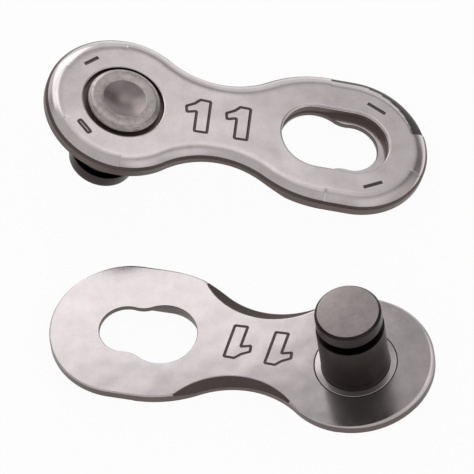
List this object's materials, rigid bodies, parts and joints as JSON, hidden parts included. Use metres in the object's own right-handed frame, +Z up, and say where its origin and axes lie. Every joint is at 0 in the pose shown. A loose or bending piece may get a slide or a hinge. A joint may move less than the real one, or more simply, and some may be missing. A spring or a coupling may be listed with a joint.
{
  "type": "chain connecting link",
  "caption": "Quick connecting link for a bicycle chain: like stamped plates, each with a riveted grooved pin at one end and a keyhole slot at the other.",
  "frame": {"origin": "centre of the bounding box, on the surface that both halves lie on", "axes": "+Z up; +Y from the front half, which shows its inner face and its pin, to the rear half, which shows its outer face; +X to the right as seen from the front"},
  "size_m": [0.0214, 0.0242, 0.007],
  "materials": {
    "plate_steel": "nickel-plated, tumbled satin",
    "pin_steel": "hardened, ground"
  },
  "bodies": {
    "root": {"rear_plate": "plate_steel", "rear_pin": "pin_steel", "front_plate": "plate_steel", "front_pin": "pin_steel"}
  },
  "joints": []
}
